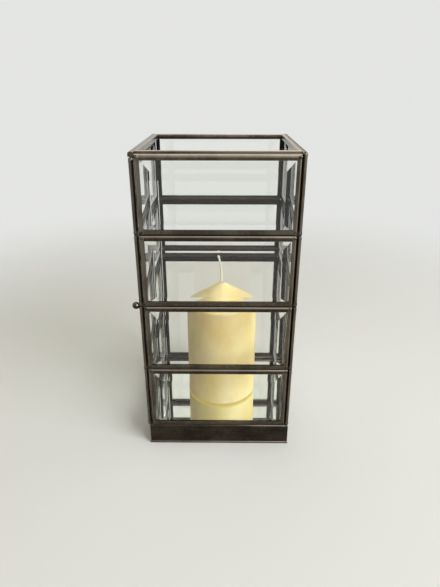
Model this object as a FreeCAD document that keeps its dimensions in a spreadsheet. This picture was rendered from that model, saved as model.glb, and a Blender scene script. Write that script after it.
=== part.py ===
import FreeCAD, Part
import os
import re
import Sketcher

doc = FreeCAD.newDocument("CandleLantern")

# Driving sizes of the lantern, in millimetres and degrees
sizes = {
    "frontWidth": 108.0,      # front and back frames, edge to edge
    "sideWidth": 110.0,       # right panel, and the lantern's whole depth
    "tierPitch": 54.0,        # height of one framed pane
    "crownRise": 1.6,         # right, back and door sides above the front's top
    "railFace": 3.9,          # level runs of the folded channel that edges a pane
    "stileFace": 3.1,         # upright runs
    "cameDepth": 3.2,
    "cameWall": 0.45,         # lips of the channel
    "cameSeat": 0.9,          # metal between the channel's bottom and the frame's edge
    "cameFold": 1.3,          # rounding where the strip is folded over
    "glassThick": 2.8,
    "glassPlay": 0.1,         # pane edge to channel bottom
    "bevelSide": 8.6,         # ground bevel, from the pane's upright edges
    "bevelTop": 9.7,          # from its top edge
    "bevelFoot": 6.9,         # from its foot, where the pane was trimmed
    "bevelDrop": 1.1,         # glass that the bevel takes off at the edge
    "doorGap": 0.5,           # door to the ends of the front and back panels
    "doorTopGap": 0.4,
    "doorFootGap": 0.5,
    "doorBackGap": 0.5,
    "headHeight": 3.3,        # rail over the door
    "plinthHeight": 18.2,
    "plinthSetback": 1.4,     # plinth in from the door's face
    "plinthWall": 0.8,        # sheet of the folded plinth
    "plinthFlange": 3.6,      # top flange that the panels stand on
    "plinthEdge": 0.6,        # rounding of the folded edges
    "hemHeight": 1.8,         # folded hem round the foot
    "hemStand": 0.4,
    "bottomThick": 1.0,
    "sheetPlay": 0.1,         # bottom plate and mirror to the plinth's walls
    "mirrorThick": 3.0,
    "rimWide": 2.2,           # bead inside the open top
    "rimTall": 4.0,
    "rimRise": 0.3,           # bead above the crown
    "rimRound": 0.9,
    "knuckleRadius": 1.6,
    "knuckleLength": 5.0,
    "knuckleGap": 0.2,
    "pinRadius": 0.8,
    "pinPlay": 0.05,
    "pinHeadRadius": 1.3,
    "pinHeadHeight": 0.7,
    "leafThick": 0.6,
    "leafReach": 3.1,         # leaf on the frame's face
    "leafClear": 0.4,         # leaf to the other half's knuckle
    "hingeStand": 0.9,        # hinge line out from the corner's two faces
    "hingeInset": 20.0,       # hinge ends from the door's ends
    "knobRadius": 2.7,
    "knobLength": 5.4,
    "knobNeck": 1.5,
    "knobFoot": 2.4,          # radius of the knob's foot
    "knobFootThick": 0.5,
    "knobInset": 2.7,         # knob axis from the door's front edge
    "candleRadius": 30.0,
    "candleShoulder": 85.6,
    "candleHeight": 104.8,
    "candleSoft": 1.6,        # softened shoulder
    "candleFoot": 0.8,        # softened foot
    "candleX": 2.2,           # where the candle stands on the mirror
    "candleY": 4.5,
    "wickRadius": 0.9,
    "wickPlay": 0.05,
    "wickSeat": 10.0,         # wick inside the wax
    "wickRise": 1.5,          # straight foot of the wick above the wax
    "wickCurl": 82.0,         # radius of its lean
    "wickLean": 15.4,         # degrees
}

sheet = doc.addObject("Spreadsheet::Sheet", "Sizes")
for row, (alias, value) in enumerate(sizes.items(), start=1):
    sheet.set(f"A{row}", alias)
    sheet.set(f"B{row}", str(value))
    sheet.setAlias(f"B{row}", alias)
doc.recompute()


# Words of the sheet in an expression become references to its cells
def sized(expression):
    return re.sub(r"[a-z][A-Za-z]+", lambda word: "Sizes." + word[0] if word[0] in sizes else word[0], expression)


def bind(item, **expressions):
    for name, expression in expressions.items():
        item.setExpression(name, sized(expression))


def place(item, x, y, z, rotation=None):
    if rotation is not None:
        item.Placement = FreeCAD.Placement(FreeCAD.Vector(), rotation)
    for axis, expression in zip("xyz", (x, y, z)):
        item.setExpression(f"Placement.Base.{axis}", sized(expression))


def newBody(label):
    body = doc.addObject("PartDesign::Body", label)
    body.Label = label
    return body


# A sketch on one of the body's own planes, lifted off it by an expression
def newSketch(body, name, role="XY_Plane", lift="0"):
    sketch = body.newObject("Sketcher::SketchObject", name)
    support = next(item for item in body.Origin.OriginFeatures if item.Role == role)
    sketch.AttachmentSupport = (support, [""])
    sketch.MapMode = "FlatFace"
    sketch.setExpression("AttachmentOffset.Base.z", sized(lift))
    return sketch


# A closed outline whose corners are each held by their own two distances
def outline(sketch, corners):
    first = sketch.GeometryCount
    count = len(corners)
    turns = [FreeCAD.Rotation(FreeCAD.Vector(0, 0, 1), 360 * k / count - 135) for k in range(count)]
    rough = [turn.multVec(FreeCAD.Vector(20, 0, 0)) + FreeCAD.Vector(30, 30, 0) for turn in turns]
    for k in range(count):
        sketch.addGeometry(Part.LineSegment(rough[k], rough[(k + 1) % count]), False)
    for k in range(count):
        sketch.addConstraint(Sketcher.Constraint("Coincident", first + k, 2, first + (k + 1) % count, 1))
    for k, corner in enumerate(corners):
        for kind, expression, axis in zip(("DistanceX", "DistanceY"), corner, (-2, -1)):
            if expression == "0":
                sketch.addConstraint(Sketcher.Constraint("PointOnObject", first + k, 1, axis))
                continue
            number = sketch.addConstraint(Sketcher.Constraint(kind, -1, 1, first + k, 1, 10.0))
            sketch.setExpression(f"Constraints[{number}]", sized(expression))


def rectangle(sketch, width, height, margin="0", topMargin=None):
    foot = margin if topMargin is None else topMargin
    right = f"{width} - ({margin})" if margin != "0" else width
    top = f"{height} - ({foot})" if foot != "0" else height
    outline(sketch, [(margin, foot), (right, foot), (right, top), (margin, top)])


def pad(body, sketch, length):
    feature = body.newObject("PartDesign::Pad", "Pad")
    feature.Profile = sketch
    bind(feature, Length=length)
    return feature


# A pocket that cuts from its sketch along the sketch's own normal
def pocket(body, sketch, length):
    before = body.Shape.Volume
    feature = body.newObject("PartDesign::Pocket", "Pocket")
    feature.Profile = sketch
    feature.Reversed = True
    bind(feature, Length=length)
    doc.recompute()
    if body.Shape.Volume >= before:
        raise RuntimeError(f"a pocket of {body.Label} cuts nothing")
    return feature


def revolve(body, sketch):
    feature = body.newObject("PartDesign::Revolution", "Revolution")
    feature.Profile = sketch
    feature.ReferenceAxis = (sketch, ["V_Axis"])
    feature.Angle = 360
    return feature


# Edges of the body's present shape that a test on their middle point picks out
def edgesWhere(body, test):
    doc.recompute()
    names = []
    for number, edge in enumerate(body.Shape.Edges, start=1):
        middle = edge.valueAt((edge.FirstParameter + edge.LastParameter) / 2)
        if test(middle, edge):
            names.append(f"Edge{number}")
    return names


def fillet(body, test, radius):
    names = edgesWhere(body, test)
    base = body.Tip
    feature = body.newObject("PartDesign::Fillet", "Fillet")
    feature.Base = (base, names)
    bind(feature, Radius=radius)
    return feature


def near(a, b):
    return abs(a - b) < 1e-4


# Turns that stand a panel drawn flat on each side of the lantern, its outer face outwards
upright = FreeCAD.Rotation(FreeCAD.Vector(1, 0, 0), 90)
turned = {name: FreeCAD.Rotation(FreeCAD.Vector(0, 0, 1), angle).multiply(upright)
          for name, angle in (("front", 0), ("back", 180), ("right", 90), ("door", -90))}

# Where the lower corner of each side's panel lies, and how wide the panel is
panelWidth = {"front": "frontWidth", "back": "frontWidth", "right": "sideWidth",
              "door": "sideWidth - doorBackGap"}
panelCorner = {
    "front": ("-frontWidth / 2", "-sideWidth / 2 + cameDepth"),
    "back": ("frontWidth / 2", "sideWidth / 2 - cameDepth"),
    "right": ("frontWidth / 2", "-sideWidth / 2"),
    "door": ("-frontWidth / 2 - doorGap", "sideWidth / 2 - doorBackGap"),
}


# One folded came frame: a ring with a channel for the pane, its outer edges rounded by the fold
def makeFrame(side, tier, height, foot):
    body = newBody(f"{side}_frame_{tier}")
    width = panelWidth[side]
    ring = newSketch(body, "Ring")
    rectangle(ring, width, height)
    rectangle(ring, width, height, "stileFace", "railFace")
    pad(body, ring, "cameDepth")
    doc.recompute()
    channel = newSketch(body, "Channel", lift="cameWall")
    rectangle(channel, width, height, "cameSeat")
    pocket(body, channel, "cameDepth - 2 * cameWall")
    box = body.Shape.BoundBox

    def onOutside(point, edge):
        outer = near(point.x, 0) or near(point.y, 0) or near(point.x, box.XMax) or near(point.y, box.YMax)
        return outer and edge.BoundBox.ZLength < 1e-3

    fillet(body, onOutside, "min(cameFold; cameDepth * 0.42)")
    place(body, *panelCorner[side], foot, turned[side])
    return body


# One run of a pane's bevel, wide on the outer face and shallow on the edge
def grind(body, test, width, blank):
    names = edgesWhere(body, test)
    base = body.Tip
    bevel = body.newObject("PartDesign::Chamfer", "Bevel")
    bevel.Base = (base, names)
    bevel.ChamferType = "Two distances"
    bind(bevel, Size="bevelDrop", Size2=width)
    before = face(body, blank)
    doc.recompute()
    if before - face(body, blank) < 2 * sizes["bevelDrop"] * min(blank.XLength, blank.YLength):
        bevel.FlipDirection = True


def face(body, blank):
    return max(item.Area for item in body.Shape.Faces if near(item.BoundBox.ZMin, blank.ZMax))


# One pane, its back flat against the channel's inner lip and its outer face ground to a bevel
def makePane(side, tier, height, foot):
    body = newBody(f"{side}_pane_{tier}")
    blank = newSketch(body, "Blank", lift="cameWall")
    rectangle(blank, panelWidth[side], height, "cameSeat + glassPlay")
    pad(body, blank, "glassThick")
    doc.recompute()
    box = body.Shape.BoundBox
    for width, at in (("bevelSide", lambda point: near(point.x, box.XMin) or near(point.x, box.XMax)),
                      ("bevelTop", lambda point: near(point.y, box.YMax)),
                      ("bevelFoot", lambda point: near(point.y, box.YMin))):
        grind(body, lambda point, edge: near(point.z, box.ZMax) and at(point), width, box)
    place(body, *panelCorner[side], foot, turned[side])
    return body


# Four tiers on every side, the top one first; the front stops below the crown, the door under its head rail
parts = []
for side in ("front", "back", "right", "door"):
    for tier in (1, 2, 3, 4):
        height = "tierPitch"
        foot = f"plinthHeight + {4 - tier} * tierPitch"
        if tier == 1 and side != "front":
            height = "tierPitch + crownRise"
        if tier == 1 and side == "door":
            height = "tierPitch + crownRise - headHeight - doorTopGap"
        if side == "door" and tier == 4:
            height = "tierPitch - doorFootGap"
            foot = "plinthHeight + doorFootGap"
        parts.append(makeFrame(side, tier, height, foot))
        parts.append(makePane(side, tier, height, foot))

# Plinth: one folded sheet with a flange under the panels, an open window for the mirror and a hem
doorFace = "-frontWidth / 2 - doorGap - cameDepth"
plinthLeft = f"{doorFace} + plinthSetback"
plinthWidth = "(frontWidth + doorGap + 2 * cameDepth - plinthSetback)"
plinth = newBody("base_plinth")
shell = newSketch(plinth, "Shell", lift="hemHeight / 2")
rectangle(shell, plinthWidth, "sideWidth")
pad(plinth, shell, "plinthHeight - hemHeight / 2")
fillet(plinth, lambda point, edge: point.z > sizes["hemHeight"] and edge.BoundBox.ZLength < 1e-3, "plinthEdge")
hem = newSketch(plinth, "Hem")
outline(hem, [("-hemStand", "-hemStand"), (f"{plinthWidth} + hemStand", "-hemStand"),
              (f"{plinthWidth} + hemStand", "sideWidth + hemStand"), ("-hemStand", "sideWidth + hemStand")])
pad(plinth, hem, "hemHeight")
fillet(plinth, lambda point, edge: edge.BoundBox.ZLength < 1e-3
       and (min(point.x, point.y) < -1e-4 or point.x > plinth.Shape.BoundBox.XMax - 0.01
            or point.y > plinth.Shape.BoundBox.YMax - 0.01), "min(hemStand * 0.9; hemHeight * 0.4)")
doc.recompute()
inside = newSketch(plinth, "Inside")
rectangle(inside, plinthWidth, "sideWidth", "plinthWall")
pocket(plinth, inside, "plinthHeight - plinthWall")
window = newSketch(plinth, "Window")
rectangle(window, plinthWidth, "sideWidth", "plinthFlange")
pocket(plinth, window, "plinthHeight + plinthWall")
place(plinth, plinthLeft, "-sideWidth / 2", "0")
parts.append(plinth)

# Bottom plate and mirror, both cut to the plinth's inside
for label, foot, thick in (("base_bottom", "0", "bottomThick"),
                           ("floor_mirror", "plinthHeight - plinthWall - mirrorThick", "mirrorThick")):
    plate = newBody(label)
    edge = newSketch(plate, "Edge")
    rectangle(edge, plinthWidth, "sideWidth", "plinthWall + sheetPlay")
    pad(plate, edge, thick)
    place(plate, plinthLeft, "-sideWidth / 2", foot)
    parts.append(plate)

# Head rail over the door: the same folded channel, open towards the door and closed at its ends
lanternTop = "plinthHeight + 4 * tierPitch + crownRise"
head = newBody("head_rail")
profile = newSketch(head, "Profile", "XZ_Plane")
depth = "cameDepth + doorGap"
rectangle(profile, depth, "headHeight")
pad(head, profile, "sideWidth")
fillet(head, lambda point, edge: near(point.z, sizes["headHeight"]) and edge.BoundBox.YLength > 1,
       "min(cameFold; cameDepth * 0.42)")
doc.recompute()
channel = newSketch(head, "Channel")
outline(channel, [("cameWall", "-cameWall"), (f"{depth} - cameWall", "-cameWall"),
                  (f"{depth} - cameWall", "cameWall - sideWidth"), ("cameWall", "cameWall - sideWidth")])
pocket(head, channel, "headHeight - cameSeat")
place(head, doorFace, "sideWidth / 2", f"{lanternTop} - headHeight")
parts.append(head)

# Rim bead, lying against the inner faces of the three panels and the head rail
bead = newBody("rim_bead")
ring = newSketch(bead, "Ring")
beadDepth = "sideWidth - 2 * cameDepth"
rectangle(ring, "frontWidth", beadDepth)
rectangle(ring, "frontWidth", beadDepth, "rimWide")
pad(bead, ring, "rimTall")
fillet(bead, lambda point, edge: near(point.z, sizes["rimTall"]), "min(rimRound; rimWide * 0.42)")
place(bead, "-frontWidth / 2", "-sideWidth / 2 + cameDepth", f"{lanternTop} + rimRise - rimTall")
parts.append(bead)


# Plain blocks and rods of the hinges, given by their corners or ends
def block(name, low, high):
    item = doc.addObject("Part::Box", name)
    spans = [f"({top}) - ({bottom})" for bottom, top in zip(low, high)]
    bind(item, Length=spans[0], Width=spans[1], Height=spans[2])
    place(item, *low)
    return item


def rod(name, foot, radius, length):
    item = doc.addObject("Part::Cylinder", name)
    bind(item, Radius=radius, Height=length)
    place(item, hingeX, hingeY, foot)
    return item


# One half of a hinge: its leaf and knuckles joined and bored for the pin
def hingeHalf(label, pieces, foot):
    joined = doc.addObject("Part::MultiFuse", label + "_blank")
    joined.Shapes = pieces
    half = doc.addObject("Part::Cut", label)
    half.Base = joined
    half.Tool = rod(label + "_bore", f"{foot} - pinPlay", "pinRadius + pinPlay", f"{hingeLength} + 2 * pinPlay")
    half.Label = label
    return half


hingeX = f"{doorFace} - hingeStand"
hingeY = "sideWidth / 2 + hingeStand"
hingeLength = "3 * knuckleLength + 2 * knuckleGap"
lowFoot = "plinthHeight + doorFootGap + hingeInset"
highFoot = f"{lanternTop} - headHeight - doorTopGap - hingeInset - ({hingeLength})"

for level, foot in (("lower", lowFoot), ("upper", highFoot)):
    step = "(knuckleLength + knuckleGap)"
    bottoms = [foot, f"{foot} + {step}", f"{foot} + 2 * {step}"]
    top = f"{foot} + {hingeLength}"
    nearX = f"{hingeX} + knuckleRadius + leafClear"
    nearY = f"{hingeY} - knuckleRadius - leafClear"
    backFace = "sideWidth / 2"
    fixed = [block(f"{level}_fixed_leaf", (nearX, backFace, foot),
                   ("-frontWidth / 2 + leafReach", f"{backFace} + leafThick", top))]
    for place_, bottom in (("foot", bottoms[0]), ("head", bottoms[2])):
        fixed.append(block(f"{level}_fixed_tongue_{place_}", (hingeX, backFace, bottom),
                           (nearX, f"{backFace} + leafThick", f"{bottom} + knuckleLength")))
        fixed.append(rod(f"{level}_fixed_knuckle_{place_}", bottom, "knuckleRadius", "knuckleLength"))
    parts.append(hingeHalf(f"hinge_{level}_fixed", fixed, foot))
    moving = [block(f"{level}_door_leaf", (f"{doorFace} - leafThick", f"{backFace} - doorBackGap - leafReach", foot),
                    (doorFace, nearY, top)),
              block(f"{level}_door_tongue", (f"{doorFace} - leafThick", nearY, bottoms[1]),
                    (doorFace, hingeY, f"{bottoms[1]} + knuckleLength")),
              rod(f"{level}_door_knuckle", bottoms[1], "knuckleRadius", "knuckleLength")]
    parts.append(hingeHalf(f"hinge_{level}_door", moving, foot))
    pin = newBody(f"hinge_{level}_pin")
    half = newSketch(pin, "Half", "XZ_Plane")
    headTop = f"pinHeadHeight + {hingeLength}"
    outline(half, [("0", "0"), ("pinRadius", "0"), ("pinHeadRadius", "pinHeadHeight / 2"),
                   ("pinHeadRadius", "pinHeadHeight"), ("pinRadius", "pinHeadHeight"), ("pinRadius", headTop),
                   ("pinHeadRadius", headTop), ("pinHeadRadius", f"{headTop} + pinHeadHeight / 2"),
                   ("pinRadius", f"{headTop} + pinHeadHeight"), ("0", f"{headTop} + pinHeadHeight")])
    revolve(pin, half)
    place(pin, hingeX, hingeY, f"{foot} - pinHeadHeight")
    parts.append(pin)

# Ball knob on the door's front stile, level with the middle rail, on a short neck and a flared foot
knob = newBody("door_knob")
half = newSketch(knob, "Half", "XZ_Plane")
outline(half, [("0", "0"), ("knobFoot", "0"), ("knobFoot", "knobFootThick"), ("knobNeck", "2 * knobFootThick"),
               ("knobNeck", "knobLength - knobRadius"), ("0", "knobLength - knobRadius")])
revolve(knob, half)
ball = knob.newObject("PartDesign::AdditiveSphere", "Ball")
bind(ball, Radius="knobRadius")
ball.setExpression("AttachmentOffset.Base.z", sized("knobLength - knobRadius"))
ball.AttachmentSupport = (next(item for item in knob.Origin.OriginFeatures if item.Role == "XY_Plane"), [""])
ball.MapMode = "FlatFace"
place(knob, doorFace, "-sideWidth / 2 + knobInset", "plinthHeight + 2 * tierPitch",
      FreeCAD.Rotation(FreeCAD.Vector(0, 1, 0), -90))
parts.append(knob)

# Pillar candle with a conical top and the hole that the wick sits in
floorTop = "plinthHeight - plinthWall"
candle = newBody("candle")
half = newSketch(candle, "Half", "XZ_Plane")
wickHole = "wickRadius + wickPlay"
coneRise = f"(candleHeight - candleShoulder) / (candleRadius - ({wickHole}))"
softTop = ("candleRadius - candleSoft", f"candleShoulder + candleSoft * {coneRise}")
outline(half, [("0", "0"), ("candleRadius - candleFoot", "0"), ("candleRadius", "candleFoot"),
               ("candleRadius", "candleShoulder - candleSoft"), softTop, (wickHole, "candleHeight"),
               (wickHole, "candleHeight - wickSeat"), ("0", "candleHeight - wickSeat")])
revolve(candle, half)
place(candle, "candleX", "candleY", floorTop)
parts.append(candle)

# Wick: straight out of the wax, then leaning over in one gentle arc
wick = newBody("wick")
path = newSketch(wick, "Path", "XZ_Plane")
straight = path.addGeometry(Part.LineSegment(FreeCAD.Vector(0, 0, 0), FreeCAD.Vector(0, 19, 0)), False)
sweep = Part.Circle(FreeCAD.Vector(-80, 19, 0), FreeCAD.Vector(0, 0, 1), 80)
bend = path.addGeometry(Part.ArcOfCircle(sweep, 0, 0.244), False)
path.addConstraint(Sketcher.Constraint("Coincident", straight, 1, -1, 1))
path.addConstraint(Sketcher.Constraint("Vertical", straight))
path.addConstraint(Sketcher.Constraint("Tangent", straight, 2, bend, 1))
rise = path.addConstraint(Sketcher.Constraint("DistanceY", straight, 1, straight, 2, 19.0))
curl = path.addConstraint(Sketcher.Constraint("Radius", bend, 80.0))
tip = path.addConstraint(Sketcher.Constraint("DistanceY", straight, 2, bend, 2, 19.35))
path.setExpression(f"Constraints[{rise}]", sized("wickSeat + wickRise"))
path.setExpression(f"Constraints[{curl}]", sized("wickCurl"))
path.setExpression(f"Constraints[{tip}]", sized("wickCurl * sin(wickLean)"))
strand = newSketch(wick, "Strand")
ringLine = strand.addGeometry(Part.Circle(FreeCAD.Vector(), FreeCAD.Vector(0, 0, 1), 0.9), False)
strand.addConstraint(Sketcher.Constraint("Coincident", ringLine, 3, -1, 1))
number = strand.addConstraint(Sketcher.Constraint("Radius", ringLine, 0.9))
strand.setExpression(f"Constraints[{number}]", sized("wickRadius"))
doc.recompute()
pipe = wick.newObject("PartDesign::AdditivePipe", "Pipe")
pipe.Profile = strand
pipe.Spine = (path, ["Edge1", "Edge2"])
place(wick, "candleX", "candleY", f"{floorTop} + candleHeight - wickSeat")
parts.append(wick)

# Every object has to be sound before anything is written
doc.recompute()
for item in doc.Objects:
    if "Invalid" in item.State or "Error" in item.State:
        raise RuntimeError(f"{item.Label} failed: {item.State}")
for part in parts:
    if part.Shape.isNull() or not part.Shape.isValid() or len(part.Shape.Solids) != 1:
        raise RuntimeError(f"{part.Label} is not one sound solid")

os.makedirs("parts", exist_ok=True)
for part in parts:
    part.Shape.exportStep(f"parts/{part.Label}.step")
    box = part.Shape.BoundBox
    print(f"{part.Label}: {part.Shape.Volume:.1f} mm3, x {box.XMin:.2f} to {box.XMax:.2f}, "
          f"y {box.YMin:.2f} to {box.YMax:.2f}, z {box.ZMin:.2f} to {box.ZMax:.2f}")
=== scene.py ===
import math

import bpy
import numpy as np
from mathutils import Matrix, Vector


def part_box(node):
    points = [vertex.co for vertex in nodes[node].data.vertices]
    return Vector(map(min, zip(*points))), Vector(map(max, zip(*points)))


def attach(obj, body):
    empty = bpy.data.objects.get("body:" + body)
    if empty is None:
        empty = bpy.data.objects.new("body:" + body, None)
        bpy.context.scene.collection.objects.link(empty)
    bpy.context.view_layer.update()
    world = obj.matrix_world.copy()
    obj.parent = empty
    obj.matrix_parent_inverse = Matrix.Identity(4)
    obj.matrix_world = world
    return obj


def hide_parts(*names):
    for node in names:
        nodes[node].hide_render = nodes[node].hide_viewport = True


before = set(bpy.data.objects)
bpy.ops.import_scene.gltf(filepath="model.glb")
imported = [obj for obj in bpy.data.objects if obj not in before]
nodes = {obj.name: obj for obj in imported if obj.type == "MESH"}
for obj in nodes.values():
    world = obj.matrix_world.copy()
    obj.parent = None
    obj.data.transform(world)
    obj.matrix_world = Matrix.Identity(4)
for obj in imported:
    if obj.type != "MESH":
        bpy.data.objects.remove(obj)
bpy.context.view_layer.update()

mm = 0.001
print("frame loaded:", len(nodes), "nodes")


class Wire:  # a shader socket that takes part in sums; a bare Wire(tree) only adds nodes
    def __init__(self, tree, socket=None):
        self.tree = tree
        self.socket = socket

    def node(self, kind, settings=None, sockets=None, out=0):
        made = self.tree.nodes.new("ShaderNode" + kind)
        for name, value in (settings or {}).items():
            setattr(made, name, value)
        for name, value in (sockets or {}).items():
            if isinstance(value, Wire):
                self.tree.links.new(value.socket, made.inputs[name])
            else:
                made.inputs[name].default_value = value
        return Wire(self.tree, made.outputs[out] if made.outputs else None)

    def math(self, operation, *terms):
        return self.node("Math", {"operation": operation}, dict(enumerate(terms)))

    def __add__(self, other):
        return self.math("ADD", self, other)

    def __sub__(self, other):
        return self.math("SUBTRACT", self, other)

    def __rsub__(self, other):
        return self.math("SUBTRACT", other, self)

    def __mul__(self, other):
        return self.math("MULTIPLY", self, other)

    __radd__ = __add__
    __rmul__ = __mul__

    def __abs__(self):
        return self.math("ABSOLUTE", self)

    def least(self, other):
        return self.math("MINIMUM", self, other)

    def most(self, other):
        return self.math("MAXIMUM", self, other)

    def ease(self, low, high):  # 0 below low, 1 above high, or the other way round
        return self.node("MapRange", {"interpolation_type": "SMOOTHSTEP"},
                         {"Value": self, "From Min": low, "From Max": high})

    def noise(self, scale, detail=3.0, rough=0.55):  # self is a position
        return self.node("TexNoise", {}, {"Vector": self, "Scale": scale, "Detail": detail,
                                          "Roughness": rough})

    def stretched(self, factors):
        return self.node("VectorMath", {"operation": "MULTIPLY"}, {0: self, 1: factors})

    def axis(self, name):
        return self.node("SeparateXYZ", {}, {0: self}, out=name)

    def tint(self, low, high):  # colour from low to high by this value
        return self.node("Mix", {"data_type": "RGBA"}, {0: self, 6: low, 7: high}, out=2)

    def bump(self, strength, depth):
        return self.node("Bump", {}, {"Strength": strength, "Distance": depth * mm, "Height": self})


def newMaterial(name):
    material = bpy.data.materials.new(name)
    material.use_nodes = True
    material.node_tree.nodes.clear()
    return material, Wire(material.node_tree)


def place(start):  # Object coordinates in millimetres
    return start.node("TexCoord", out="Object").stretched((1 / mm, 1 / mm, 1 / mm))


def surface(start, sockets):
    return start.node("BsdfPrincipled", {}, sockets)


def output(start, shader):
    start.node("OutputMaterial", {}, {"Surface": shader})


def tone(red, green, blue):
    return (red, green, blue, 1.0)


def boxOf(node):  # a node's corners in millimetres
    return [np.array(corner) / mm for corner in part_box(node)]


def newPiece(name, points, faces, material, body, smooth=True):
    mesh = bpy.data.meshes.new(name)
    mesh.from_pydata(points * mm, [], faces)
    mesh.polygons.foreach_set("use_smooth", np.full(len(mesh.polygons), smooth))
    mesh.materials.append(material)
    piece = bpy.data.objects.new(name, mesh)
    bpy.context.scene.collection.objects.link(piece)
    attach(piece, body)
    return piece


def ringFaces(rows, columns):  # quads of a rows x columns grid closed round its columns, both ends capped
    i, j = np.meshgrid(np.arange(rows - 1), np.arange(columns), indexing="ij")
    k = (j + 1) % columns
    below = i * columns
    above = below + columns
    quads = np.stack([below + j, below + k, above + k, above + j], axis=-1).reshape(-1, 4).tolist()
    ring = np.arange(columns)
    return quads + [ring[::-1].tolist(), (ring + (rows - 1) * columns).tolist()]


def roundAngles(count):
    return np.linspace(0, 2 * math.pi, count, endpoint=False)


# Sides: the axis that runs along each panel, the axis that points out of it, and which way that is
sides = {"front": (0, 1, -1), "back": (0, 1, 1), "right": (1, 0, 1), "door": (1, 0, -1)}
panelFoot = boxOf("front_frame_4")[0][2]
tierPitch = boxOf("front_frame_3")[0][2] - panelFoot

# Folded came: satin antique pewter, paler along upper and outer folds from wear and painted highlight, with
# painted shade in the grooves, along the lower folds and in a band below each upper fold, and painted shade
# with soot inside.
# A pair says where a mask begins and where it is full, in mm or as a level of the noise
came = {"shadeAndSoot": tone(0.014, 0.011, 0.009), "dark": tone(0.150, 0.122, 0.090),
        "brown": tone(0.29, 0.240, 0.183), "stile": tone(0.43, 0.363, 0.292),
        "worn": tone(0.68, 0.60, 0.495),
        "clouds": 0.045, "mottle": 0.5, "grain": 3.0, "blend": (0.38, 0.62),
        "rough": 0.31, "matteCrest": 0.22, "bump": (0.06, 0.10),
        "upperFold": (1.6, 0.8), "endFold": (1.6, 0.5), "lowerFold": (1.6, 0.4),
        "endWearAndHighlight": {"front": 0.75, "back": 0.75, "right": 0.16, "door": 0.16},
        "grooveShade": {"front": (0.4, 0.1), "back": (0.8, 0.1), "right": (0.8, 0.1), "door": (0.8, 0.1)},
        "inside": (1.5, 2.3), "insideTop": (0.9, 1.8), "footRail": (3.6, 2.6),
        "crestThin": (1.8, 0.9), "crestWide": (2.5, 1.5), "crestMatte": (2.6, 1.4),
        "stileEdge": (3.3, 2.9), "stileClouds": (0.35, 0.6), "stileRise": (90.0, 200.0),
        "doorward": (40.0, -20.0), "belowFoldShadeTop": (1.5, 2.1), "belowFoldShadeFoot": (4.2, 3.4), "railOnly": (2.9, 3.4),
        "lowerTiers": (5.0, 6.0), "seam": (0.5, 0.2), "seamTop": (1.4, 0.7),
        "crestLess": 0.55, "crestWearAndHighlight": 0.46, "otherStiles": 0.2, "belowFoldShadeShare": 0.5, "footBrown": 0.3,
        "seamShare": 0.8, "grooveShare": 0.85, "underShare": 0.75}


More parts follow.
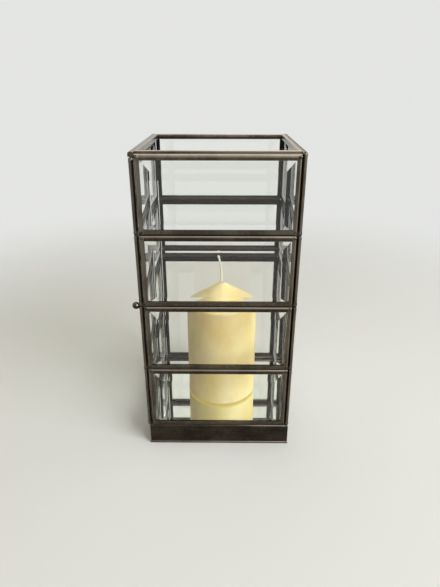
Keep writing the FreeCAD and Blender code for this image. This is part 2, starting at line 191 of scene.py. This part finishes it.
def cameMetal(name, side):
    material, start = newMaterial(name)
    spot = place(start)
    low, high = boxOf(f"{side}_frame_1")
    middle = (low + high) / 2
    along, out, facing = sides[side]
    outer = high[out] if facing > 0 else low[out]
    upright = spot.axis("Z")
    depth = spot.axis("XYZ"[out])
    crest = high[2] - upright
    fromSide = (high - low)[along] / 2 - abs(spot.axis("XYZ"[along]) - middle[along])
    topTier = panelFoot + 3.5 * tierPitch  # the height stops counting here, because the top tier is taller
    fromFoot = upright.math("MODULO", upright.least(topTier) - panelFoot, tierPitch)
    fromTop = (tierPitch - fromFoot).least(crest)
    clouds = spot.noise(came["clouds"], 4.0)
    mottle = spot.noise(came["mottle"], 3.0, 0.6)
    grain = spot.noise(came["grain"], 3.0, 0.6)
    # painted shade with soot on the inside faces
    inside = abs(depth - outer).ease(*came["inside"]) * crest.ease(*came["insideTop"])
    # painted shade in the narrow grooves between stacked frames
    grooveShade = (tierPitch - fromFoot).least(fromFoot).ease(*came["grooveShade"][side])
    # painted shade along each frame's lower fold
    lowerFoldShade = fromFoot.ease(*came["lowerFold"])
    ends = came["endWearAndHighlight"][side] * fromSide.ease(*came["endFold"])
    # wear and painted highlight: paler along each upper fold and the end folds
    lightened = fromTop.ease(*came["upperFold"]).most(ends) * (1 - lowerFoldShade)
    # On the top rail the paler band of wear and painted highlight is wider and softer
    lightened = lightened * (1 - came["crestLess"] * crest.ease(*came["crestThin"]))
    lightened = lightened.most(came["crestWearAndHighlight"] * crest.ease(*came["crestWide"]))
    lightened = lightened * (0.6 + 0.6 * clouds) + 0.03 * mottle
    patina = (0.7 * clouds + 0.3 * mottle).ease(*came["blend"]).tint(came["dark"], came["brown"])
    onStile = fromSide.ease(*came["stileEdge"]) * (0.35 + 0.65 * clouds.ease(*came["stileClouds"]))
    if side == "front":  # paler up the upper half and towards the door
        stileRise = 0.25 + 0.75 * upright.ease(*came["stileRise"])
        onStile = onStile * stileRise * (0.3 + 0.7 * spot.axis("X").ease(*came["doorward"]))
    else:
        onStile = came["otherStiles"] * onStile
    belowFoldShade = fromTop.ease(*came["belowFoldShadeTop"]) * fromTop.ease(*came["belowFoldShadeFoot"])  # painted shade in a band below each upper fold
    belowFoldShade = belowFoldShade * fromSide.ease(*came["railOnly"]) * crest.ease(*came["lowerTiers"])
    patina = (came["belowFoldShadeShare"] * belowFoldShade).tint(patina, came["shadeAndSoot"])
    patina = onStile.tint(patina, came["stile"])
    brown = came["footBrown"] * fromFoot.ease(*came["footRail"])  # each frame's lower rail keeps its brown, clear of the painted inside shade
    inside = inside * (1 - brown)
    if side != "front":  # the line where the strip's edges meet
        seam = abs(depth - middle[out]).ease(*came["seam"])
        inside = inside.most(came["seamShare"] * seam * crest.ease(*came["seamTop"]))
    # painted shade and soot: inside faces, grooves, lower folds and the seam line
    shadeAndSootMask = inside.most(came["grooveShare"] * grooveShade).most(came["underShare"] * lowerFoldShade)
    # the paler wear and painted highlight, with painted shade and soot laid over it
    colour = shadeAndSootMask.tint(lightened.tint(patina, came["worn"]), came["shadeAndSoot"])
    rough = came["rough"] + 0.10 * (mottle - 0.5) + 0.08 * (grain - 0.5) + 0.12 * inside
    rough = rough + came["matteCrest"] * crest.ease(*came["crestMatte"])
    output(start, surface(start, {"Base Color": colour, "Metallic": 1.0, "Roughness": rough,
                                  "Normal": (mottle + 0.2 * grain).bump(*came["bump"])}))
    return material


# Bead and head rail: the same strip, paler on top from wear and painted highlight, with painted shade and
# soot down its inner side
rim = {"dark": tone(0.13, 0.108, 0.085), "brown": tone(0.33, 0.28, 0.225),
       "bead": tone(0.55, 0.485, 0.40), "head": tone(0.36, 0.317, 0.261),
       "clouds": 0.04, "mottle": 0.5, "blend": (0.36, 0.64), "fold": (1.3, 0.3), "right": (-35.0, 30.0),
       "front": (-46.0, -50.0), "faceHighlight": 0.6, "seam": (0.5, 0.2), "seamShare": 0.8,
       "back": (46.0, 49.0), "innerFace": (1.6, 2.3), "innerShadeAndSootShare": 0.8, "rough": 0.30, "bump": (0.06, 0.10)}


def rimMetal(name, node, worn):
    material, start = newMaterial(name)
    spot = place(start)
    low, high = boxOf(node)
    clouds = spot.noise(rim["clouds"], 4.0)
    mottle = spot.noise(rim["mottle"], 3.0, 0.6)
    fromTop = high[2] - spot.axis("Z")
    # wear and painted highlight along the top fold
    lightened = fromTop.ease(*rim["fold"]) * (0.45 + 0.7 * clouds)
    if node == "rim_bead":  # painted highlight: paler towards the right, where the key lamp stands, and there down the front strip's face too
        right = spot.axis("X").ease(*rim["right"])
        face = rim["faceHighlight"] * right * spot.axis("Y").ease(*rim["front"])
        lightened = (lightened * (0.75 + 0.55 * right)).most(face)
    if node == "head_rail":  # the line where the strip's edges meet
        seam = abs(spot.axis("X") - (low + high)[0] / 2).ease(*rim["seam"])
        lightened = lightened * (1 - rim["seamShare"] * seam)
    patina = (0.7 * clouds + 0.3 * mottle).ease(*rim["blend"]).tint(rim["dark"], rim["brown"])
    colour = lightened.tint(patina, worn)
    if node == "rim_bead":  # painted shade and soot on the back strip's inner face
        innerShadeAndSoot = fromTop.ease(*rim["innerFace"]) * spot.axis("Y").ease(*rim["back"])
        colour = (rim["innerShadeAndSootShare"] * innerShadeAndSoot).tint(colour, came["shadeAndSoot"])
    output(start, surface(start, {"Base Color": colour, "Metallic": 1.0,
                                  "Roughness": rim["rough"] + 0.12 * (mottle - 0.5),
                                  "Normal": mottle.bump(*rim["bump"])}))
    return material


# Sheet of the plinth and its bottom: a flatter, blacker patina, paler along the hem and the top edge from
# wear and painted highlight
sheet = {"dark": tone(0.065, 0.053, 0.041), "brown": tone(0.135, 0.107, 0.081),
         "worn": tone(0.60, 0.54, 0.45), "drawn": (1.0, 1.0, 2.2),
         "clouds": 0.06, "mottle": 0.45, "grain": 3.0, "blend": (0.36, 0.66),
         "hemTop": (2.1, 1.6), "hemFoot": (0.5, 1.2), "hemRight": (-30.0, 50.0), "lip": (1.0, 0.4),
         "lipRight": (12.0, 34.0), "rough": 0.36, "bump": (0.10, 0.12)}


def plinthSheet(name):
    material, start = newMaterial(name)
    spot = place(start)
    upright = spot.axis("Z")
    level = spot.axis("X")
    fromTop = boxOf("base_plinth")[1][2] - upright
    clouds = spot.stretched(sheet["drawn"]).noise(sheet["clouds"], 4.0)
    mottle = spot.noise(sheet["mottle"], 3.0, 0.6)
    grain = spot.noise(sheet["grain"], 3.0, 0.6)
    hem = upright.ease(*sheet["hemTop"]) * upright.ease(*sheet["hemFoot"])
    # painted highlight: the hem and the top edge grow paler towards the right, where the key lamp stands
    hem = hem * (0.65 + 0.6 * level.ease(*sheet["hemRight"]))
    lip = fromTop.ease(*sheet["lip"]) * (0.15 + 0.85 * level.ease(*sheet["lipRight"]))
    lightened = (0.9 * hem).most(lip) * (0.55 + 0.75 * clouds) + 0.03 * mottle
    patina = (0.65 * clouds + 0.35 * mottle).ease(*sheet["blend"]).tint(sheet["dark"], sheet["brown"])
    rough = sheet["rough"] + 0.14 * (mottle - 0.5) + 0.10 * (clouds - 0.5) + 0.06 * (grain - 0.5)
    output(start, surface(start, {"Base Color": lightened.tint(patina, sheet["worn"]), "Metallic": 1.0,
                                  "Roughness": rough,
                                  "Normal": (mottle + 0.3 * grain).bump(*sheet["bump"])}))
    return material


# Small fittings: the same pewter from a dark to a rubbed tone, with a roughness for each
fitting = {"clouds": 0.25, "grain": 2.5, "blend": (0.3, 0.7), "bump": (0.08, 0.10),
           "hingePewter": (tone(0.085, 0.069, 0.053), tone(0.20, 0.165, 0.128), 0.38),
           "pinSteel": (tone(0.16, 0.14, 0.115), tone(0.32, 0.29, 0.25), 0.28),
           "knobPewter": (tone(0.06, 0.049, 0.040), tone(0.20, 0.17, 0.14), 0.22),
           "solderTin": (tone(0.10, 0.082, 0.064), tone(0.30, 0.26, 0.212), 0.32)}


def fittingMetal(name):
    material, start = newMaterial(name)
    spot = place(start)
    dark, lightened, rough = fitting[name]
    grain = spot.noise(fitting["grain"], 3.0, 0.6)
    colour = spot.noise(fitting["clouds"], 3.0).ease(*fitting["blend"]).tint(dark, lightened)
    output(start, surface(start, {"Base Color": colour, "Metallic": 1.0,
                                  "Roughness": rough + 0.12 * (grain - 0.5),
                                  "Normal": grain.bump(*fitting["bump"])}))
    return material


# Clear plate glass with a faint green cast and a breath of dust; lamps shine through it
glass = {"cast": tone(0.984, 0.992, 0.972), "floor": tone(0.99, 0.997, 0.988), "index": 1.50,
         "film": 0.03, "filmBlend": (0.45, 0.75), "wave": 0.035, "rough": 0.012, "dusty": 0.03,
         "bump": (0.10, 0.4)}


def plateGlass(name, cast):
    material, start = newMaterial(name)
    spot = place(start)
    film = spot.noise(glass["film"], 4.0).ease(*glass["filmBlend"])
    wave = spot.noise(glass["wave"], 1.0)
    body = surface(start, {"Base Color": cast, "Roughness": glass["rough"] + glass["dusty"] * film,
                           "IOR": glass["index"], "Transmission Weight": 1.0,
                           "Normal": wave.bump(*glass["bump"])})
    clear = start.node("BsdfTransparent", {}, {"Color": cast})
    lamp = start.node("LightPath", out="Is Shadow Ray")
    output(start, start.node("MixShader", {}, {0: lamp, 1: body, 2: clear}))
    return material


# Silver of the mirror: bright, a little dusty, with dark specks near the edges where it has gone
mirror = {"silver": tone(0.985, 0.98, 0.88), "speck": tone(0.10, 0.11, 0.10), "border": (9.0, 2.0),
          "specks": 0.9, "speckBlend": (0.52, 0.62), "speckShare": 0.8,
          "dust": 0.06, "dustBlend": (0.42, 0.75), "rough": 0.015}


def mirrorSilver(name):
    material, start = newMaterial(name)
    spot = place(start)
    low, high = boxOf("floor_mirror")
    middle = (low + high) / 2
    half = (high - low) / 2
    fromSides = half[0] - abs(spot.axis("X") - middle[0])
    fromEdge = fromSides.least(half[1] - abs(spot.axis("Y") - middle[1]))
    specks = spot.noise(mirror["specks"], 4.0, 0.7).ease(*mirror["speckBlend"])
    specks = fromEdge.ease(*mirror["border"]) * specks
    dust = spot.noise(mirror["dust"], 5.0).ease(*mirror["dustBlend"])
    colour = (mirror["speckShare"] * specks).tint(mirror["silver"], mirror["speck"])
    output(start, surface(start, {"Base Color": colour, "Metallic": 1.0,
                                  "Roughness": mirror["rough"] + 0.05 * dust + 0.25 * specks}))
    return material


# Silvering: a thin backing under the floor's glass plate, so that what stands on it is mirrored from below
silvering = {"gap": 0.05, "thick": 0.12, "inset": 0.4, "steps": 96}


def makeSilvering(material):
    low, high = boxOf("floor_mirror")
    angle = roundAngles(silvering["steps"])
    # The unit circle pushed out to a square, scaled to the plate; one ring below, one above
    circle = np.stack([np.cos(angle), np.sin(angle)], axis=-1)
    square = circle / abs(circle).max(axis=1, keepdims=True)
    flat = (low + high)[:2] / 2 + square * ((high - low)[:2] / 2 - silvering["inset"])
    top = np.full((angle.size, 1), low[2] - silvering["gap"])
    points = np.concatenate([np.hstack([flat, top - silvering["thick"]]), np.hstack([flat, top])])
    faces = ringFaces(2, angle.size)
    newPiece("mirrorSilvering", points, faces, material, "lantern", smooth=False)


# Candle wax: warm ivory, deeper in the body, with faint clouding, a soft skin and a painted glow at its foot
wax = {"pale": tone(0.87, 0.75, 0.42), "deep": tone(0.77, 0.61, 0.25), "glow": (1.0, 0.62, 0.18),
       "reach": 0.014, "foot": tone(0.34, 0.25, 0.065), "none": tone(0, 0, 0), "footGlowRise": (1.0, 0.1),
       "index": 1.44, "drawn": (1.0, 1.0, 0.6), "clouds": 0.05, "bloom": 0.6, "blend": (0.32, 0.70),
       "rough": 0.42, "subsurface": 0.80, "bump": (0.18, 0.5)}


def candleWax(name):
    material, start = newMaterial(name)
    spot = place(start)
    clouds = spot.stretched(wax["drawn"]).noise(wax["clouds"], 4.0)
    bloom = spot.noise(wax["bloom"], 4.0, 0.65)
    colour = (0.75 * clouds + 0.25 * bloom).ease(*wax["blend"]).tint(wax["deep"], wax["pale"])
    fromFoot = spot.axis("Z") - boxOf("candle")[0][2]
    footGlow = fromFoot.ease(*wax["footGlowRise"]).tint(wax["none"], wax["foot"])  # painted glow: emission stands in for light the wax carries down to its foot
    output(start, surface(start, {"Base Color": colour, "Roughness": wax["rough"] + 0.25 * (bloom - 0.5),
                                  "Subsurface Weight": wax["subsurface"], "Subsurface Radius": wax["glow"],
                                  "Subsurface Scale": wax["reach"], "IOR": wax["index"],
                                  "Emission Color": footGlow, "Emission Strength": 1.0,
                                  "Normal": (clouds + 0.12 * bloom).bump(*wax["bump"])}))
    return material


# Candle: a profile turned about its own axis, foot and shoulder rounded, the skin a little uneven.
# Each wave is its share, its turns round the candle, its climb per mm and its phase
candle = {"lift": 0.05, "foot": 1.2, "round": 1.8, "shoulder": 85.6, "holePlay": 0.05, "holeDepth": 3.0,
          "steps": 168, "uneven": 0.03, "calm": 3.0, "core": 0.2, "drawnIn": 1.6,
          "waves": ((1.0, 2, 0.05, 0.0), (0.6, 3, -0.11, 1.3), (0.5, 5, 0.19, 0.4))}


def makeCandle(material):
    low, high = boxOf("candle")
    wickLow, wickHigh = boxOf("wick")
    radius = (high - low)[0] / 2
    height = (high - low)[2]
    hole = (wickHigh - wickLow)[1] / 2 + candle["holePlay"]
    foot = candle["foot"]
    rounded = candle["round"]
    turn = math.pi / 2 - math.atan2(height - candle["shoulder"], radius - hole)
    bend = candle["shoulder"] - rounded * math.tan(turn / 2)  # where the wall ends and the shoulder begins
    footTurn = np.linspace(-math.pi / 2, 0, 6)
    topTurn = np.linspace(0, turn, 10)
    coneRun = np.linspace(0, 1, 18)[1:]
    wall = np.linspace(foot, bend, 40)[1:-1]
    # Out along the underside, round the foot, up the wall, over the shoulder, up the cone to the wick's hole
    topWide = radius - rounded + rounded * np.cos(topTurn)
    topHigh = bend + rounded * np.sin(topTurn)
    wide = np.concatenate([radius - foot + foot * np.cos(footTurn), np.full(wall.size, radius), topWide,
                           topWide[-1] + (hole - topWide[-1]) * coneRun, [hole]])
    rise = np.concatenate([foot + foot * np.sin(footTurn), wall, topHigh,
                           topHigh[-1] + (height - topHigh[-1]) * coneRun, [height - candle["holeDepth"]]])
    rows = wide.size
    around = roundAngles(candle["steps"])[None, :]
    wide = wide[:, None]
    rise = rise[:, None]
    # A few slow waves round and up the wax, fading out on the underside and at the wick
    swell = sum(share * np.sin(turns * around + climb * rise + phase)
                for share, turns, climb, phase in candle["waves"])
    fading = np.clip(rise / candle["calm"], 0, 1) * np.clip(wide / radius - candle["core"], 0, 1)
    wide = wide - candle["uneven"] * (candle["drawnIn"] + swell) * fading
    centre = (low + high) / 2
    points = np.stack([centre[0] + wide * np.cos(around), centre[1] + wide * np.sin(around),
                       low[2] + candle["lift"] + rise + 0 * around], axis=-1).reshape(-1, 3)
    piece = newPiece("pillarCandle", points, ringFaces(rows, candle["steps"]), material, "candle")
    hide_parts("candle")


# Cotton of the wick: fibrous and pale, waxed towards its foot
cotton = {"shade": tone(0.70, 0.66, 0.56), "pale": tone(0.92, 0.90, 0.84), "waxed": tone(0.80, 0.70, 0.46),
          "drawn": (1.0, 1.0, 0.3), "fibre": 4.0, "blend": (0.3, 0.7), "waxRise": (6.0, 12.0), "rough": 0.85,
          "bump": (0.5, 0.15)}


def wickCotton(name):
    material, start = newMaterial(name)
    spot = place(start)
    fibre = spot.stretched(cotton["drawn"]).noise(cotton["fibre"], 4.0, 0.7)
    waxed = (boxOf("wick")[1][2] - spot.axis("Z")).ease(*cotton["waxRise"])
    colour = fibre.ease(*cotton["blend"]).tint(cotton["shade"], cotton["pale"])
    output(start, surface(start, {"Base Color": (0.7 * waxed).tint(colour, cotton["waxed"]),
                                  "Roughness": cotton["rough"] - 0.3 * waxed,
                                  "Normal": fibre.bump(*cotton["bump"])}))
    return material


# Wick: two braided strands' worth of ridges on a tube that rises straight and then leans over
wick = {"seat": 10.0, "rise": 1.5, "curl": 82.0, "lean": 15.4, "ridges": 3, "twist": 1.9, "depth": 0.14,
        "buried": 5.0, "tip": 0.5, "tipTurn": 1.57, "steps": 150, "spokes": 40, "slim": 0.92,
        "fray": 0.25, "frayAt": 1.8, "frayLength": 1.2, "point": 0.02}


def makeWick(material):
    low, high = boxOf("wick")
    candleLow, candleHigh = boxOf("candle")
    radius = (high - low)[1] / 2
    footX = (candleLow + candleHigh)[0] / 2
    footY = (low + high)[1] / 2
    straight = wick["seat"] + wick["rise"]
    length = straight + wick["curl"] * math.radians(wick["lean"])
    shaft = np.linspace(wick["buried"], length - wick["tip"], wick["steps"])
    tip = length - wick["tip"] + wick["tip"] * np.sin(np.linspace(0, wick["tipTurn"], 6))[1:]
    along = np.concatenate([shaft, tip])[:, None]
    around = roundAngles(wick["spokes"])[None, :]
    # The path: up to the bend, then along an arc that leans towards -X
    lean = np.clip(along - straight, 0, None) / wick["curl"]
    pathX = footX - wick["curl"] * (1 - np.cos(lean))
    pathZ = low[2] + np.minimum(along, straight) + wick["curl"] * np.sin(lean)
    # The braid: two sets of ridges that wind opposite ways, frayed near the tip, the tip closed to a round
    weave = np.maximum(np.sin(wick["ridges"] * around + wick["twist"] * along),
                       np.sin(wick["ridges"] * around - wick["twist"] * along))
    closing = np.sqrt(np.clip((length - along) / wick["tip"], 0, 1))
    fray = 1 + wick["fray"] * np.exp(-((along - length + wick["frayAt"]) / wick["frayLength"]) ** 2)
    wide = radius * (1 - wick["depth"] + wick["depth"] * weave)
    wide = wide * np.maximum(closing, wick["point"]) * fray * wick["slim"]
    points = np.stack([pathX + wide * np.cos(around) * np.cos(lean), footY + wide * np.sin(around),
                       pathZ + wide * np.cos(around) * np.sin(lean)], axis=-1).reshape(-1, 3)
    piece = newPiece("cottonWick", points, ringFaces(along.size, wick["spokes"]), material, "candle")
    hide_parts("wick")


# Solder: a low uneven pillow of metal over every mitre of every frame, on its outer face
solder = {"reach": 1.5, "height": 0.22, "sunk": 0.05, "rings": 7, "spokes": 18, "inset": (1.55, 1.95),
          "crown": 0.02, "oval": 0.16, "lobes": 0.10, "sizes": (0.75, 1.1), "heights": (0.6, 1.3),
          "phases": (0, 6.28), "fullness": 0.8}


def solderSpots(side):  # for each mitre: its place and the directions along, up and out of the panel
    alongAxis, outAxis, facing = sides[side]
    along = np.eye(3)[alongAxis] * (-facing if alongAxis == 0 else facing)
    up = np.eye(3)[2]
    out = np.eye(3)[outAxis] * facing
    spots = []
    for tier in (1, 2, 3, 4):
        low, high = boxOf(f"{side}_frame_{tier}")
        middle = (low + high) / 2
        half = (high - low) / 2
        for left in (-1, 1):
            for rise in (-1, 1):
                spot = middle + along * left * (half[alongAxis] - solder["inset"][0])
                spot = spot + up * rise * (half[2] - solder["inset"][1]) + out * half[outAxis]
                spots.append((spot, along, up, out))
    return spots


def solderLumps(name, spots, body, material, seed):
    chance = np.random.default_rng(seed)
    count = len(spots)
    centre, along, up, out = np.array(spots).transpose(1, 0, 2)[:, :, None, None, :]
    # Rings shrink towards the crown; each outline wobbles, and the height is a cosine of the way in
    inward = np.linspace(1, solder["crown"], solder["rings"])[None, :, None]
    angle = roundAngles(solder["spokes"])[None, None, :]
    first, second = chance.uniform(*solder["phases"], (2, count, 1, 1))
    wobble = 1 + solder["oval"] * np.sin(2 * angle + first) + solder["lobes"] * np.sin(3 * angle + second)
    size = solder["reach"] * chance.uniform(*solder["sizes"], (count, 1, 1))
    wide = size * wobble * inward
    tall = solder["height"] * chance.uniform(*solder["heights"], (count, 1, 1))
    rise = tall * np.cos(inward * math.pi / 2) ** solder["fullness"] - solder["sunk"]
    points = (centre + along * (wide * np.cos(angle))[..., None] + up * (wide * np.sin(angle))[..., None]
              + out * rise[..., None])
    lump = ringFaces(solder["rings"], solder["spokes"])
    step = solder["rings"] * solder["spokes"]
    faces = [[corner + k * step for corner in face] for k in range(count) for face in lump]
    newPiece(name, points.reshape(-1, 3), faces, material, body)


# Finishes: what each kind of node is made of, by the start of its name
finishes = {"head_rail": rimMetal("headPewter", "head_rail", rim["head"]),
            "rim_bead": rimMetal("beadPewter", "rim_bead", rim["bead"]),
            "base_plinth": plinthSheet("plinthSheet"), "base_bottom": plinthSheet("bottomSheet"),
            "floor_mirror": plateGlass("floorGlass", glass["floor"]),
            "door_knob": fittingMetal("knobPewter")}
paneGlass = plateGlass("plateGlass", glass["cast"])
hingeMetal = fittingMetal("hingePewter")
pinMetal = fittingMetal("pinSteel")
for side in sides:
    finishes[side + "_frame"] = cameMetal(side + "Came", side)
    finishes[side + "_pane"] = paneGlass
for level in ("lower", "upper"):
    finishes[f"hinge_{level}_fixed"] = hingeMetal
    finishes[f"hinge_{level}_door"] = hingeMetal
    finishes[f"hinge_{level}_pin"] = pinMetal
for name, item in nodes.items():
    for beginning, finish in finishes.items():
        if name.startswith(beginning):
            item.data.materials.clear()
            item.data.materials.append(finish)
print("finishes on:", len(finishes), "kinds of node")

makeSilvering(mirrorSilver("mirrorSilver"))
makeCandle(candleWax("candleWax"))
makeWick(wickCotton("wickCotton"))
solderMetal = fittingMetal("solderTin")
fixedSpots = solderSpots("front") + solderSpots("back") + solderSpots("right")
solderLumps("frameSolder", fixedSpots, "lantern", solderMetal, 4)
solderLumps("doorSolder", solderSpots("door"), "door", solderMetal, 9)
print("candle, wick and solder made")

# Stage: a pale floor that runs out into an even pale surround; bounced light finds it darker and warmer
stage = {"floor": tone(0.80, 0.81, 0.80), "bounce": tone(0.26, 0.26, 0.25),
         "surround": tone(0.775, 0.785, 0.765), "warm": tone(0.80, 0.72, 0.52),
         "size": 3.0, "fade": (0.22, 0.75), "rough": 0.8, "shine": 0.2}


def rays(start, kind):
    return start.node("LightPath", out=kind)


def seenDirectly(start):  # 1 for what the camera sees, also through glass
    seen = rays(start, "Is Camera Ray").most(rays(start, "Is Transmission Ray"))
    return seen * (1 - rays(start, "Diffuse Depth").least(1.0))


def addToScene(name, data):
    item = bpy.data.objects.new(name, data)
    bpy.context.scene.collection.objects.link(item)
    return item


def makeFloor():
    edge = stage["size"]
    mesh = bpy.data.meshes.new("floor")
    corners = [(-edge, -edge, 0), (edge, -edge, 0), (edge, edge, 0), (-edge, edge, 0)]
    mesh.from_pydata(corners, [], [(0, 1, 2, 3)])
    floor = addToScene("floor", mesh)
    material, start = newMaterial("floorPale")
    spot = start.node("TexCoord", out="Object")
    away = start.node("VectorMath", {"operation": "LENGTH"}, {0: spot}, out="Value")
    seen = seenDirectly(start)
    near = seen.tint(stage["bounce"], stage["floor"])
    far = seen.tint(stage["bounce"], stage["surround"])
    matte = surface(start, {"Base Color": near, "Roughness": stage["rough"],
                            "Specular IOR Level": stage["shine"]})
    even = start.node("Emission", {}, {"Color": far, "Strength": 1.0})
    output(start, start.node("MixShader", {}, {0: away.ease(*stage["fade"]), 1: matte, 2: even}))
    mesh.materials.append(material)


# Surround and lamps: the world's share of light for bounced rays, and how much mirrored rays find it
# dimmer towards -Y; then the soft lamps, each with its place, target, size and power
lights = {"ambient": 0.33, "dim": 0.70, "ahead": (-0.1, -0.7),
          "lamps": {"key": ((1.25, -1.00, 0.95), (0, 0, 0.10), 1.20, 32.0),
                    "overhead": ((0.10, 0.10, 1.90), (0, 0, 0.10), 1.50, 9.0),
                    "fill": ((-1.40, -1.10, 0.80), (0, 0, 0.12), 1.20, 0.5)}}


def makeWorld():
    world = bpy.data.worlds.new("studio")
    bpy.context.scene.world = world
    world.use_nodes = True
    world.node_tree.nodes.clear()
    start = Wire(world.node_tree)
    direct = seenDirectly(start)
    mirrored = rays(start, "Is Glossy Ray") * (1 - direct)
    seen = direct.most(mirrored)
    ahead = start.node("TexCoord", out="Generated").axis("Y").ease(*lights["ahead"])  # its dimmer side
    strength = lights["ambient"] + (1.0 - lights["ambient"]) * seen - lights["dim"] * ahead * mirrored
    colour = seen.tint(stage["warm"], stage["surround"])
    shade = start.node("Background", {}, {"Color": colour, "Strength": strength})
    start.node("OutputWorld", {}, {"Surface": shade})


def makeLamps():
    for name, (spot, target, size, power) in lights["lamps"].items():
        lamp = bpy.data.lights.new(name, "AREA")
        lamp.size = size
        lamp.energy = power
        item = addToScene(name, lamp)
        away = np.array(target) - np.array(spot)
        item.location = spot
        item.rotation_euler = (math.atan2(np.hypot(away[0], away[1]), -away[2]), 0,
                               math.atan2(away[0], -away[1]) + math.pi)


# Camera: where the photograph was taken from
view = {"spot": (0.0044, -0.364, 0.277), "pitch": 65.67, "turn": 0.57, "lens": 28.92, "sensor": 36.0}


def makeCamera():
    lens = bpy.data.cameras.new("camera")
    lens.sensor_width = view["sensor"]
    lens.lens = view["lens"]
    camera = addToScene("camera", lens)
    camera.location = view["spot"]
    camera.rotation_euler = (math.radians(view["pitch"]), 0, math.radians(view["turn"]))
    bpy.context.scene.camera = camera


makeFloor()
makeWorld()
makeLamps()
makeCamera()
bpy.context.scene.view_settings.view_transform = "Standard"
print("stage, lamps and camera set")
